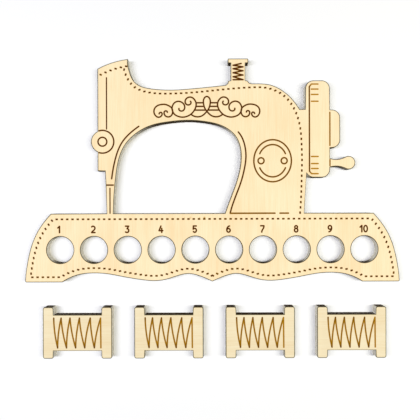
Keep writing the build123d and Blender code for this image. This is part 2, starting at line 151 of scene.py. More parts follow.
# Points of a rim, and corners of a stitch, closer than this are one, in millimetres
RIM_MERGE = 0.0001
CORNER_MERGE = 0.001
# An offset line at a corner: the sum of two unit normals that counts as a fold, how sharp a corner is
# followed, and how much of its distance a point has to keep
FOLD = 0.001
MITRE_LIMIT = 0.4
KEPT_SHARE = 0.85
# A stitch is a groove with this many corners
STITCH_CORNERS = 4
# The char in a stitch is as thick, and crumbles as much, as the groove's depth in this many parts
BED_PARTS = 3
# Points on a stitch's bed along X, Y and Z
BED_POINTS = (6, 4, 2)
# The least and the most that a kerf mark is scaled along X, Y and Z
KERF_LEAST = (0.5, 0.6, 0.96)
KERF_MOST = (1.4, 1.1, 1.0)
GLUE_SIDES = 4
SHARP_ANGLE = math.radians(30.0)
# A face of a ply whose normal rises more than this lies flat
FLAT_NORMAL = 0.5

# Noise: how often it changes in a metre, along X, Y and Z
FINE_GRAIN = (2600.0, 60.0, 2600.0)
BROAD_GRAIN = (170.0, 12.0, 170.0)
CLOUDS = (45.0, 45.0, 45.0)
PORES = (5200.0, 420.0, 5200.0)
UNEVEN_BURN = (900.0, 900.0, 900.0)
LASER_STREAKS = (3200.0, 3200.0, 160.0)
SOOT = (500.0, 500.0, 500.0)
CRUMBS = (2500.0, 2500.0, 2500.0)
PATCHES = (210.0, 210.0, 210.0)
BED_CRUMBS = 2600.0
NOISE_ROUGHNESS = 0.55
NOISE_MIDDLE = 0.5

# The sockets of a mix node that are for colours, by their places
MIX_FACTOR = 0
MIX_FIRST = 6
MIX_SECOND = 7
MIXED = 2

# Ranges as low and high, and where four are given also as new low and new high
PORE_RANGE = (0.66, 0.78)
STREAK_RANGE = (0.52, 0.92)
GRAIN_ROUGHNESS = (0.3, 0.7, 0.55, 0.7)
HAZE_RANGE = (0.0, 0.55)
BURN_RANGE = (0.35, 0.95)
ACROSS_RANGE = (0.75, 0.97)
STREAK_CHAR_RANGE = (0.3, 0.6, 0.8, 1.0)
SOOT_CHAR_RANGE = (0.3, 0.6, 0.85, 1.0)
BROWN_RANGE = (1.35, 2.0)

# Shares of the parts that make up the grain, the tone and the char
FINE_SHARE = 0.6
BROAD_SHARE = 0.4
CLOUD_SHARE = 0.35
PORE_SHARE = 0.3
WOBBLE_SHARE = 0.5
PATCH_SHARE = 2.0

# Bumps as distance in metres and strength, and how rough and how shiny the surfaces are
BIRCH_BUMP = (0.00003, 0.35)
EDGE_BUMP = (0.00004, 0.6)
CHAR_BUMP = (0.00003, 0.5)
BIRCH_ROUGHNESS = 0.62
EDGE_ROUGHNESS = 0.85
CHAR_ROUGHNESS = 0.9
PAPER_ROUGHNESS = 0.9
SHEEN = 0.08

# Birches: the name, whether the grain is turned along X, the shade, and whether lines are burnt into it
BIRCHES = (
    ("rack_birch", False, (1.0, 1.0, 1.0), True),
    ("bobbin_birch", True, (0.895, 0.95, 1.0), True),
    ("rack_back_birch", False, (0.93, 0.93, 0.93), False),
    ("bobbin_back_birch", True, (0.86, 0.9, 0.93), False),
)
# How pale the painted soft shade on edges facing along X is, on the outer plies and on the core, and the
# lights of the chars as shares of colours
FACE_PALE = 1.0
CORE_PALE = 0.85
STITCH_GOLD_SHARE = 0.5
GLUE_LIGHT_SHARE = 1.6

# The stage, in metres
FLOOR_HALF = 3.0
FLOOR_LEVEL = -0.0001
SKY_STRENGTH = 0.12
LAMPS = (("left_light", -1, (0.97, 0.98, 1.07)), ("right_light", 1, (1.03, 1.02, 0.93)))
LAMP_SIZE = (0.13, 0.56)
LAMP_ENERGY = 3.4
LAMP_PLACE = (0.42, 0.015, 0.53)
LAMP_AIM = (-0.28, 0.02, 0.0)
# The view of the photograph: straight down on the face, turned a little
VIEW_ACROSS = 0.22365
VIEW_AWAY = 0.145
VIEW_MIDDLE = (-0.00116, 0.02108)
VIEW_TURN = -0.17
SENSOR = 36.0
CLIP_START = 0.01


# Sizes and colours

class ThreadRackSizes(bpy.types.PropertyGroup):
    groove_depth: FloatProperty(
        name="Groove depth", description="How deep the burnt lines go", default=0.0003, unit="LENGTH")
    edge_round: FloatProperty(
        name="Edge rounding", description="How far the top of a cut edge is rounded", default=0.00008,
        unit="LENGTH")
    stitch_length: FloatProperty(
        name="Stitch length", description="Length of the charred bed of a stitch", default=0.0009,
        unit="LENGTH")
    stitch_width: FloatProperty(
        name="Stitch width", description="Width of the charred bed of a stitch", default=0.00046,
        unit="LENGTH")
    kerf_pitch: FloatProperty(
        name="Kerf pitch", description="Spacing of the laser's marks along a cut edge", default=0.0006,
        unit="LENGTH")
    kerf_width: FloatProperty(
        name="Kerf width", description="Width of one kerf mark along the edge", default=0.0002, unit="LENGTH")
    kerf_depth: FloatProperty(
        name="Kerf depth", description="Thickness of one kerf mark, half of it in the wood", default=0.00006,
        unit="LENGTH")
    glue_radius: FloatProperty(
        name="Glue line radius", description="Half the height of a glue line", default=0.00004, unit="LENGTH")
    seed: IntProperty(name="Seed", description="Seed of every random change", default=7)


class ThreadRackColours(bpy.types.PropertyGroup):
    birch_light: FloatVectorProperty(
        name="Birch light", description="Light wood between the streaks", subtype="COLOR",
        default=(0.96, 0.795, 0.52))
    birch_dark: FloatVectorProperty(
        name="Birch dark", description="The darker streaks of the grain", subtype="COLOR",
        default=(0.87, 0.65, 0.365))
    burnt_dark: FloatVectorProperty(
        name="Burnt dark", description="A line burnt slowly", subtype="COLOR", default=(0.075, 0.014, 0.0))
    burnt_gold: FloatVectorProperty(
        name="Burnt gold", description="A line burnt quickly", subtype="COLOR", default=(0.46, 0.225, 0.0))
    rim_haze: FloatVectorProperty(
        name="Rim haze", description="Wood smoked beside a cut", subtype="COLOR", default=(0.34, 0.29, 0.13))
    # The dark rim line of a cut is part char, part painted contact shadow
    rim_char_and_painted_shade: FloatVectorProperty(
        name="Rim char and painted shade", description="The rim of a cut", subtype="COLOR", default=(0.05, 0.043, 0.02))
    char_dark: FloatVectorProperty(
        name="Char dark", description="Cut edges that face along Y", subtype="COLOR",
        default=(0.035, 0.018, 0.005))
    # Pale grey on cut edges that face along X is painted soft shade, not the colour of their char
    wall_painted_soft_shade: FloatVectorProperty(
        name="Wall painted soft shade", description="Cut edges that face along X", subtype="COLOR",
        default=(0.84, 0.8, 0.68))
    floor: FloatVectorProperty(
        name="Floor", description="The sheet of white paper below", subtype="COLOR",
        default=(0.92, 0.92, 0.92))


# Shader node groups

def new_group(name, inputs, outputs):
    """An empty shader group with its sockets, given as pairs of name and kind."""
    group = bpy.data.node_groups.new(name, "ShaderNodeTree")
    for label, kind in inputs:
        group.interface.new_socket(name=label, in_out="INPUT", socket_type=kind)
    for label, kind in outputs:
        group.interface.new_socket(name=label, in_out="OUTPUT", socket_type=kind)
    return group, group.nodes.new("NodeGroupInput"), group.nodes.new("NodeGroupOutput")


def add_math(tree, operation, *values, clamp=False):
    """A math node fed by sockets or numbers, and its result."""
    node = tree.nodes.new("ShaderNodeMath")
    node.operation = operation
    node.use_clamp = clamp
    for index, value in enumerate(values):
        if isinstance(value, (int, float)):
            node.inputs[index].default_value = value
        else:
            tree.links.new(value, node.inputs[index])
    return node.outputs["Value"]


def add_noise(tree, vector, stretch, detail):
    """Noise on a stretched vector, and its value."""
    mapping = tree.nodes.new("ShaderNodeMapping")
    mapping.inputs["Scale"].default_value = stretch
    tree.links.new(vector, mapping.inputs["Vector"])
    noise = tree.nodes.new("ShaderNodeTexNoise")
    noise.inputs["Scale"].default_value = 1.0
    noise.inputs["Detail"].default_value = detail
    noise.inputs["Roughness"].default_value = NOISE_ROUGHNESS
    tree.links.new(mapping.outputs["Vector"], noise.inputs["Vector"])
    return noise.outputs["Fac"]


def add_mix(tree, factor, first, second):
    """A colour between two, and its socket."""
    node = tree.nodes.new("ShaderNodeMix")
    node.data_type = "RGBA"
    for index, value in ((MIX_FACTOR, factor), (MIX_FIRST, first), (MIX_SECOND, second)):
        if isinstance(value, bpy.types.NodeSocket):
            tree.links.new(value, node.inputs[index])
        else:
            node.inputs[index].default_value = value
    return node.outputs[MIXED]


def add_range(tree, value, low, high, new_low=0.0, new_high=1.0):
    """A value moved from one range to another, and held inside it."""
    node = tree.nodes.new("ShaderNodeMapRange")
    tree.links.new(value, node.inputs["Value"])
    for label, number in (("From Min", low), ("From Max", high), ("To Min", new_low), ("To Max", new_high)):
        node.inputs[label].default_value = number
    return node.outputs["Result"]


def add_share(tree, value, share):
    """A value times a share."""
    return add_math(tree, "MULTIPLY", value, share)


def grain_group():
    """Birch grain that runs along Y: fine streaks, broad bands, clouds and short pores."""
    group, sockets_in, sockets_out = new_group(
        "birch_grain",
        (("Vector", "NodeSocketVector"), ("Light", "NodeSocketColor"), ("Dark", "NodeSocketColor")),
        (("Color", "NodeSocketColor"), ("Height", "NodeSocketFloat"), ("Roughness", "NodeSocketFloat")),
    )
    vector = sockets_in.outputs["Vector"]
    fine = add_noise(group, vector, FINE_GRAIN, detail=4.0)
    broad = add_noise(group, vector, BROAD_GRAIN, detail=3.0)
    cloud = add_noise(group, vector, CLOUDS, detail=2.0)
    pores = add_range(group, add_noise(group, vector, PORES, detail=1.0), *PORE_RANGE)
    streaks = add_math(group, "ADD", add_share(group, fine, FINE_SHARE), add_share(group, broad, BROAD_SHARE))
    streaks = add_math(group, "ADD", streaks, add_share(group, cloud, CLOUD_SHARE))
    tone = add_range(group, streaks, *STREAK_RANGE)
    tone = add_math(group, "ADD", tone, add_share(group, pores, PORE_SHARE), clamp=True)
    colour = add_mix(group, tone, sockets_in.outputs["Light"], sockets_in.outputs["Dark"])
    height = add_math(group, "SUBTRACT", fine, pores)
    group.links.new(colour, sockets_out.inputs["Color"])
    group.links.new(height, sockets_out.inputs["Height"])
    group.links.new(add_range(group, fine, *GRAIN_ROUGHNESS), sockets_out.inputs["Roughness"])


def scorch_and_shade_group():
    """Wood tinted by a burn: gold or haze at its rim, and gold or dark in its middle, or on the rim of a cut
    char darkened with painted contact shadow.
    """
    group, sockets_in, sockets_out = new_group(
        "scorch_and_shade_tint",
        (
            ("Wood", "NodeSocketColor"),
            ("Gold", "NodeSocketColor"),
            ("Dark", "NodeSocketColor"),
            ("Haze", "NodeSocketColor"),
            ("Char", "NodeSocketColor"),
            ("Scorch", "NodeSocketFloat"),
            ("Tone", "NodeSocketFloat"),
            ("Vector", "NodeSocketVector"),
        ),
        (("Color", "NodeSocketColor"),),
    )
    uneven = add_noise(group, sockets_in.outputs["Vector"], UNEVEN_BURN, detail=2.0)
    scorch = sockets_in.outputs["Scorch"]
    wobble = add_share(group, add_math(group, "SUBTRACT", uneven, NOISE_MIDDLE), WOBBLE_SHARE)
    tone = add_math(group, "ADD", sockets_in.outputs["Tone"], wobble, clamp=True)
    cut = add_range(group, sockets_in.outputs["Tone"], LINE_TONE, RIM_CHAR_AND_SHADE_TONE)
    burn = add_mix(group, tone, sockets_in.outputs["Gold"], sockets_in.outputs["Dark"])
    # The rim of a cut: char with painted contact shadow
    burn = add_mix(group, cut, burn, sockets_in.outputs["Char"])
    haze = add_mix(group, cut, sockets_in.outputs["Gold"], sockets_in.outputs["Haze"])
    rim = add_mix(group, add_range(group, scorch, *HAZE_RANGE), sockets_in.outputs["Wood"], haze)
    colour = add_mix(group, add_range(group, scorch, *BURN_RANGE), rim, burn)
    group.links.new(colour, sockets_out.inputs["Color"])


def char_and_painted_shade_group():
    """The colour of a cut edge: dark char where it faces along Y, else a pale grey that is painted soft
    shade, with the laser's upright streaks.
    """
    group, sockets_in, sockets_out = new_group(
        "edge_char_and_painted_shade",
        (("Vector", "NodeSocketVector"), ("Dark", "NodeSocketColor"), ("Pale", "NodeSocketColor")),
        (("Color", "NodeSocketColor"), ("Height", "NodeSocketFloat")),
    )
    vector = sockets_in.outputs["Vector"]
    normal = group.nodes.new("ShaderNodeNewGeometry").outputs["Normal"]
    parts = group.nodes.new("ShaderNodeSeparateXYZ")
    group.links.new(normal, parts.inputs["Vector"])
    across = add_range(group, add_math(group, "ABSOLUTE", parts.outputs["Y"]), *ACROSS_RANGE)
    streaks = add_noise(group, vector, LASER_STREAKS, detail=2.0)
    soot = add_noise(group, vector, SOOT, detail=3.0)
    # Walls facing along X get the pale colour, which is painted soft shade
    pale = add_math(group, "SUBTRACT", 1.0, across)
    pale = add_math(group, "MULTIPLY", pale, add_range(group, streaks, *STREAK_CHAR_RANGE))
    pale = add_math(group, "MULTIPLY", pale, add_range(group, soot, *SOOT_CHAR_RANGE), clamp=True)
    colour = add_mix(group, pale, sockets_in.outputs["Dark"], sockets_in.outputs["Pale"])
    group.links.new(colour, sockets_out.inputs["Color"])
    group.links.new(streaks, sockets_out.inputs["Height"])


def start_material(name, roughness):
    """Start a node material of a plain roughness: its tree, its shader and its object coordinates."""
    material = bpy.data.materials.new(name)
    material.use_nodes = True
    tree = material.node_tree
    shader = tree.nodes["Principled BSDF"]
    shader.inputs["Roughness"].default_value = roughness
    shader.inputs["Specular IOR Level"].default_value = SHEEN
    place = tree.nodes.new("ShaderNodeTexCoord").outputs["Object"]
    return tree, shader, place


def add_group(tree, name, values):
    """A group node by its name, with its inputs given as sockets or colours."""
    node = tree.nodes.new("ShaderNodeGroup")
    node.node_tree = bpy.data.node_groups[name]
    for label, value in values.items():
        if isinstance(value, bpy.types.NodeSocket):
            tree.links.new(value, node.inputs[label])
        else:
            node.inputs[label].default_value = (*value, 1.0)
    return node


def add_bump(tree, shader, height, distance, strength):
    """A bump on the shader's normal."""
    bump = tree.nodes.new("ShaderNodeBump")
    bump.inputs["Distance"].default_value = distance
    bump.inputs["Strength"].default_value = strength
    tree.links.new(height, bump.inputs["Height"])
    tree.links.new(bump.outputs["Normal"], shader.inputs["Normal"])


def birch_material(name, turned, shade, burnt):
    """Bare birch; the grain runs along X where turned, and burnt lines, and the char with painted contact
    shadow on the rims of cuts, follow the mesh where burnt.
    """
    colours = bpy.context.scene.thread_rack_colours
    tree, shader, place = start_material(name, BIRCH_ROUGHNESS)
    turn = tree.nodes.new("ShaderNodeMapping")
    turn.inputs["Rotation"].default_value = (0.0, 0.0, math.pi / 2 if turned else 0.0)
    tree.links.new(place, turn.inputs["Vector"])
    grain = add_group(tree, "birch_grain", {
        "Vector": turn.outputs["Vector"],
        "Light": [c * s for c, s in zip(colours.birch_light, shade)],
        "Dark": [c * s for c, s in zip(colours.birch_dark, shade)],
    })
    colour = grain.outputs["Color"]
    if burnt:
        scorch, tone = tree.nodes.new("ShaderNodeAttribute"), tree.nodes.new("ShaderNodeAttribute")
        scorch.attribute_name, tone.attribute_name = "scorch", "tone"
        tint = add_group(tree, "scorch_and_shade_tint", {
            "Wood": colour,
            "Gold": colours.burnt_gold,
            "Dark": colours.burnt_dark,
            "Haze": colours.rim_haze,
            "Char": colours.rim_char_and_painted_shade,
            "Scorch": scorch.outputs["Fac"],
            "Tone": tone.outputs["Fac"],
            "Vector": place,
        })
        colour = tint.outputs["Color"]
    tree.links.new(colour, shader.inputs["Base Color"])
    tree.links.new(grain.outputs["Roughness"], shader.inputs["Roughness"])
    add_bump(tree, shader, grain.outputs["Height"], *BIRCH_BUMP)


def char_and_painted_shade_material(name, pale_share):
    """The wall of a cut edge: char where it faces along Y, painted soft shade where it faces along X."""
    colours = bpy.context.scene.thread_rack_colours
    tree, shader, place = start_material(name, EDGE_ROUGHNESS)
    pale = [c * pale_share for c in colours.wall_painted_soft_shade]
    char = add_group(tree, "edge_char_and_painted_shade", {"Vector": place, "Dark": colours.char_dark, "Pale": pale})
    tree.links.new(char.outputs["Color"], shader.inputs["Base Color"])
    add_bump(tree, shader, char.outputs["Height"], *EDGE_BUMP)


def burn_material(name, dark, light):
    """Crumbly char in the beds of the stitches and along glue lines, browner in patches."""
    tree, shader, place = start_material(name, CHAR_ROUGHNESS)
    crumbs = add_noise(tree, place, CRUMBS, detail=4.0)
    patches = add_noise(tree, place, PATCHES, detail=1.0)
    brown = add_math(tree, "ADD", crumbs, add_share(tree, patches, PATCH_SHARE))
    brown = add_range(tree, brown, *BROWN_RANGE)
    tree.links.new(add_mix(tree, brown, (*dark, 1.0), (*light, 1.0)), shader.inputs["Base Color"])
    add_bump(tree, shader, crumbs, *CHAR_BUMP)


# Reading the rims of a veneer from the frame

def merged_copy(node):
    """A copy of a node's mesh with its loose triangles joined."""
    copy = bmesh.new()
    copy.from_mesh(frame["nodes"][node].data)
    bmesh.ops.remove_doubles(copy, verts=copy.verts, dist=TOUCH / 2)
    return copy


def flat_faces(copy, level):
    """The faces that lie flat at a level."""
    return [face for face in copy.faces if all(abs(vert.co.z - level) < TOUCH for vert in face.verts)]


def rim_loops(faces):
    """The closed rims round flat faces, each a list of points in millimetres."""
    inside = set(faces)
    links = {}
    for face in faces:
        for edge in face.edges:
            if sum(other in inside for other in edge.link_faces) == 1:
                first, second = edge.verts
                links.setdefault(first, []).append(second)
                links.setdefault(second, []).append(first)
    loops = []
    while links:
        start = here = next(iter(links))
        loop = [start]
        while True:
            there = links[here].pop()
            links[there].remove(here)
            if not links[here]:
                del links[here]
            if there is start:
                break
            loop.append(there)
            here = there
        if start in links and not links[start]:
            del links[start]
        loops.append([Vector((vert.co.x / MM, vert.co.y / MM)) for vert in loop])
    return loops


def fence_tree(loops):
    """A search tree of upright walls over loops, which measures the distance to them in the plane."""
    points, walls = [], []
    for loop in loops:
        for first, second in zip(loop, loop[1:] + loop[:1]):
            count = len(points)
            points += [(*first, -1.0), (*second, -1.0), (*second, 1.0), (*first, 1.0)]
            walls.append((count, count + 1, count + 2, count + 3))
    return BVHTree.FromPolygons(points, walls)


def floor_tree(faces):
    """A search tree of flat faces, laid in the plane in millimetres."""
    points, shapes = [], []
    for face in faces:
        count = len(points)
        points += [(vert.co.x / MM, vert.co.y / MM, 0.0) for vert in face.verts]
        shapes.append(tuple(range(count, count + len(face.verts))))
    return BVHTree.FromPolygons(points, shapes)


def distance(tree, point):
    """How far a point in the plane is from a search tree."""
    return tree.find_nearest((point[0], point[1], 0.0))[3]


def along(profile, place):
    """The height and the scorch of a profile at a place across it."""
    if place <= profile[0][0]:
        return profile[0][1:]
    for (low, low_height, low_scorch), (high, high_height, high_scorch) in zip(profile, profile[1:]):
        if place <= high:
            share = (place - low) / (high - low)
            height = low_height + share * (high_height - low_height)
            return height, low_scorch + share * (high_scorch - low_scorch)
    return profile[-1][1:]


def spread_out(loop, least):
    """The points of a loop that stand apart from the point before them."""
    return [point for point, before in zip(loop, loop[-1:] + loop[:-1]) if (point - before).length > least]


class Veneer:
    """The burnt face veneer of one board: its rims, and its height and scorch at any point."""

    def __init__(self, board):
        self.node = f"{board}_face_veneer"
        copy = merged_copy(self.node)
        self.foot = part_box(self.node)[0].z
        wood = flat_faces(copy, FACE_LEVEL)
        depth = bpy.context.scene.thread_rack_sizes.groove_depth
        floors = flat_faces(copy, FACE_LEVEL - depth)
        low_verts = [vert for vert in copy.verts if abs(vert.co.z - self.foot) < TOUCH]
        feet = {(round(vert.co.x / TOUCH), round(vert.co.y / TOUCH)) for vert in low_verts}
        self.cuts, self.grooves = [], []
        for loop in rim_loops(wood):
            hits = sum((round(p.x * MM / TOUCH), round(p.y * MM / TOUCH)) in feet for p in loop)
            (self.cuts if hits > len(loop) / 2 else self.grooves).append(loop)
        self.floors = rim_loops(floors)
        self.wood_tree = floor_tree(wood)
        self.floor_tree = floor_tree(floors)
        self.cut_tree = fence_tree(self.cuts)
        self.groove_tree = fence_tree(self.grooves)
        self.board = board
        low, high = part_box(self.node)
        self.middle = (low + high) / 2 / MM
        copy.free()

    def in_wood(self, point):
        """Whether a point lies on the flat wood."""
        return distance(self.wood_tree, point) < SLACK

    def in_groove(self, point):
        """Whether a point lies on the floor of a groove."""
        return distance(self.floor_tree, point) < SLACK

    def tone(self, point):
        """How dark a line is burnt here, and how far its scorch spreads."""
        if self.board != "rack":
            if point[0] - self.middle.x > WINDING_END:
                return END_TONE, END_SPREAD
            end = abs(point[1] - self.middle.y)
            turn = min(1.0, max(0.0, (end - TURN_START) / TURN_REACH))
            return WINDING_TONE + TURN_TONE * turn, WINDING_SPREAD
        for low, high, tone, spread in TONES:
            if low[0] < point[0] < high[0] and low[1] < point[1] < high[1]:
                return tone, spread
        return LINE_TONE, LINE_SPREAD

    def surface(self, point):
        """The height, the scorch and the tone at a point."""
        sizes = bpy.context.scene.thread_rack_sizes
        reach = distance(self.groove_tree, point)
        if reach > SLACK and self.in_groove(point):
            reach = -reach
        tone, spread = self.tone(point)
        drop = along(GROOVE_PROFILE, reach)[0]
        scorch = along(GROOVE_PROFILE, reach / spread if reach > 0 else reach)[1]
        # Rim of a cut: real char plus painted contact shadow
        fall, rim_burn_and_shade = along(CUT_PROFILE, distance(self.cut_tree, point))
        level = FACE_LEVEL / MM + min(drop * sizes.groove_depth / MM, fall * sizes.edge_round / MM)
        return level, max(scorch, rim_burn_and_shade), tone if scorch >= rim_burn_and_shade else RIM_CHAR_AND_SHADE_TONE

    def set_off(self, loop, place):
        """A loop moved sideways into the wood, or into the groove where negative, in unbroken stretches."""
        corners = spread_out(loop, RIM_MERGE)
        points = []
        for first, second in zip(corners, corners[1:] + corners[:1]):
            parts = max(1, round((second - first).length / SPAN)) if loop in self.grooves else 1
            points += [first.lerp(second, part / parts) for part in range(parts)]
        count = len(points)
        spans = [(points[(i + 1) % count] - points[i]) for i in range(count)]
        longest = max(range(count), key=lambda i: spans[i].length)
        ahead = spans[longest].normalized()
        halfway = points[longest] + spans[longest] / 2
        left = Vector((-ahead.y, ahead.x)) * PROBE
        on_left, on_right = distance(self.wood_tree, halfway + left), distance(self.wood_tree, halfway - left)
        side = 1.0 if on_left < on_right else -1.0
        moved = []
        for i, point in enumerate(points):
            before, after = spans[i - 1].normalized(), spans[i].normalized()
            first, second = Vector((-before.y, before.x)), Vector((-after.y, after.x))
            middle = first + second
            if middle.length < FOLD:
                moved.append(None)
                continue
            middle.normalize()
            spot = point + middle * side * place / max(MITRE_LIMIT, middle.dot(first))
            reach = min(distance(self.groove_tree, spot), distance(self.cut_tree, spot))
            right = self.in_wood(spot) if place > 0 else self.in_groove(spot)
            moved.append(spot if right and reach > KEPT_SHARE * abs(place) else None)
        return moved


def fill(points, edges, rims):
    """Triangles over points that keep to the edges and lie inside the first edges, the rims."""
    verts, links, faces, _, sources, _ = delaunay_2d_cdt(points, edges, [], 0, MERGE)
    fence = {frozenset(link) for link, source in zip(links, sources) if any(i < rims for i in source)}
    sides = {}
    for index, face in enumerate(faces):
        for side in zip(face, face[1:] + face[:1]):
            sides.setdefault(frozenset(side), []).append(index)
    inside, waiting = {}, []
    for side, around in sides.items():
        if len(around) == 1:
            inside[around[0]] = side in fence
            waiting.append(around[0])
    while waiting:
        here = waiting.pop()
        face = faces[here]
        for side in zip(face, face[1:] + face[:1]):
            side = frozenset(side)
            for there in sides[side]:
                if there not in inside:
                    inside[there] = inside[here] != (side in fence)
                    waiting.append(there)
    return verts, [face for index, face in enumerate(faces) if inside[index]]


def add_loops(points, edges, loop):
    """Take a loop, with gaps where its points are missing, into the points and edges."""
    places = []
    for point in loop:
        places.append(len(points) if point is not None else None)
        if point is not None:
            points.append(point)
    for first, second in zip(places, places[1:] + places[:1]):
        if first is not None and second is not None and first != second:
            edges.append((first, second))


def face_mesh(veneer):
    """The closed mesh of a face veneer with rounded edges and burnt troughs."""
    points, edges = [], []
    for loop in veneer.cuts:
        add_loops(points, edges, loop)
    rim_count = len(edges)
    for loop in veneer.cuts:
        for place, _, _ in CUT_PROFILE[1:]:
            add_loops(points, edges, veneer.set_off(loop, place))
    for loop in veneer.grooves:
        for place, _, _ in GROOVE_PROFILE:
            add_loops(points, edges, loop if place == 0 else veneer.set_off(loop, place))
    points += lattice(veneer)
    verts, kept = fill(points, edges, rim_count)
    mesh = bmesh.new()
    scorch_layer = mesh.verts.layers.float.new("scorch")
    tone_layer = mesh.verts.layers.float.new("tone")
    made = {}
    for index in sorted({i for face in kept for i in face}):
        level, scorch, tone = veneer.surface(verts[index])
        vert = mesh.verts.new((verts[index].x * MM, verts[index].y * MM, level * MM))
        vert[scorch_layer] = scorch
        vert[tone_layer] = tone
        made[index] = vert
    for face in kept:
        mesh.faces.new([made[i] for i in face])
    bmesh.ops.remove_doubles(mesh, verts=mesh.verts, dist=MERGE * MM)
    rims = [edge for edge in mesh.edges if len(edge.link_faces) == 1]
    feet = {}
    for edge in rims:
        for vert in edge.verts:
            if vert not in feet:
                foot = mesh.verts.new((vert.co.x, vert.co.y, veneer.foot))
                foot[scorch_layer] = 1.0
                feet[vert] = foot
    for edge in rims:
        first, second = edge.verts
        wall = mesh.faces.new((first, second, feet[second], feet[first]))
        wall.material_index = 1
    order = list(feet.values())
    places = {vert: index for index, vert in enumerate(order)}
    foot_points = [Vector((vert.co.x / MM, vert.co.y / MM)) for vert in order]
    foot_edges = [(places[feet[edge.verts[0]]], places[feet[edge.verts[1]]]) for edge in rims]
    for face in fill(foot_points, foot_edges, len(foot_edges))[1]:
        mesh.faces.new([order[i] for i in reversed(face)])
    bmesh.ops.recalc_face_normals(mesh, faces=mesh.faces)
    return mesh


def lattice(veneer):
    """Points spread evenly over the plain wood, well away from every rim."""
    low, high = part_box(veneer.node)
    row, rise = 0, low.y / MM
    spots = []
    while rise < high.y / MM:
        place = low.x / MM + (row % 2) * LATTICE_STEP / 2
        while place < high.x / MM:
            spot = Vector((place, rise))
            clear = min(distance(veneer.groove_tree, spot), distance(veneer.cut_tree, spot))
            if clear > LATTICE_CLEAR and veneer.in_wood(spot):
                spots.append(spot)
            place += LATTICE_STEP
        rise += LATTICE_STEP * LATTICE_RISE_SHARE
        row += 1
    return spots


def put(name, mesh, materials):
    """An object in the scene from a mesh, with its materials."""
    piece = bpy.data.objects.new(name, mesh)
    bpy.context.scene.collection.objects.link(piece)
    for material in materials:
        mesh.materials.append(bpy.data.materials[material])
    return piece


# Geometry node trees

def new_tree(name, inputs):
    """An empty geometry tree with its sockets, given as pairs of name and kind."""
    tree = bpy.data.node_groups.new(name, "GeometryNodeTree")
    tree.interface.new_socket(name="Geometry", in_out="INPUT", socket_type="NodeSocketGeometry")
    for label, kind in inputs:
        tree.interface.new_socket(name=label, in_out="INPUT", socket_type=kind)
    tree.interface.new_socket(name="Geometry", in_out="OUTPUT", socket_type="NodeSocketGeometry")
    return tree, tree.nodes.new("NodeGroupInput"), tree.nodes.new("NodeGroupOutput")


def add_node(tree, kind, links, **settings):
    """A node with its settings and its links or values by the names of its inputs."""
    node = tree.nodes.new(kind)
    for label, value in settings.items():
        setattr(node, label, value)
    for label, value in links.items():
        if isinstance(value, bpy.types.NodeSocket):
            tree.links.new(value, node.inputs[label])
        else:
            node.inputs[label].default_value = value
    return node


def end_tree(tree, sockets_in, sockets_out, geometry):
    """Make the result real, give it its material and send it out."""
    real = add_node(tree, "GeometryNodeRealizeInstances", {"Geometry": geometry})
    painted = add_node(tree, "GeometryNodeSetMaterial", {
        "Geometry": real.outputs["Geometry"],
        "Material": sockets_in.outputs["Material"],
    })
    tree.links.new(painted.outputs["Geometry"], sockets_out.inputs["Geometry"])


def stitch_tree():
    """Charred beds: a crumbly pad on each point, turned by the point's own angle."""
    tree, sockets_in, sockets_out = new_tree("stitch_beds", (
        ("Length", "NodeSocketFloat"), ("Width", "NodeSocketFloat"), ("Height", "NodeSocketFloat"),
        ("Crumble", "NodeSocketFloat"), ("Seed", "NodeSocketInt"), ("Material", "NodeSocketMaterial"),
    ))
    given = sockets_in.outputs
    size = add_node(tree, "ShaderNodeCombineXYZ", {
        "X": given["Length"], "Y": given["Width"], "Z": given["Height"]})
    pad = add_node(tree, "GeometryNodeMeshCube", {
        "Size": size.outputs["Vector"],
        "Vertices X": BED_POINTS[0], "Vertices Y": BED_POINTS[1], "Vertices Z": BED_POINTS[2]})
    turn = add_node(tree, "GeometryNodeInputNamedAttribute", {"Name": "turn"}, data_type="FLOAT_VECTOR")
    placed = add_node(tree, "GeometryNodeInstanceOnPoints", {
        "Points": given["Geometry"],
        "Instance": pad.outputs["Mesh"],
        "Rotation": turn.outputs["Attribute"],
    })
    real = add_node(tree, "GeometryNodeRealizeInstances", {"Geometry": placed.outputs["Instances"]})
    noise = add_node(tree, "ShaderNodeTexNoise", {
        "Scale": BED_CRUMBS, "Detail": 2.0, "W": given["Seed"]}, noise_dimensions="4D")
    swing = add_node(tree, "ShaderNodeMath", {0: noise.outputs["Fac"], 1: NOISE_MIDDLE}, operation="SUBTRACT")
    swing = add_node(tree, "ShaderNodeMath", {0: swing.outputs[0], 1: given["Crumble"]}, operation="MULTIPLY")
    lift = add_node(tree, "ShaderNodeCombineXYZ", {"Z": swing.outputs[0]})
    moved = add_node(tree, "GeometryNodeSetPosition", {
        "Geometry": real.outputs["Geometry"], "Offset": lift.outputs["Vector"]})
    end_tree(tree, sockets_in, sockets_out, moved.outputs["Geometry"])
    return tree


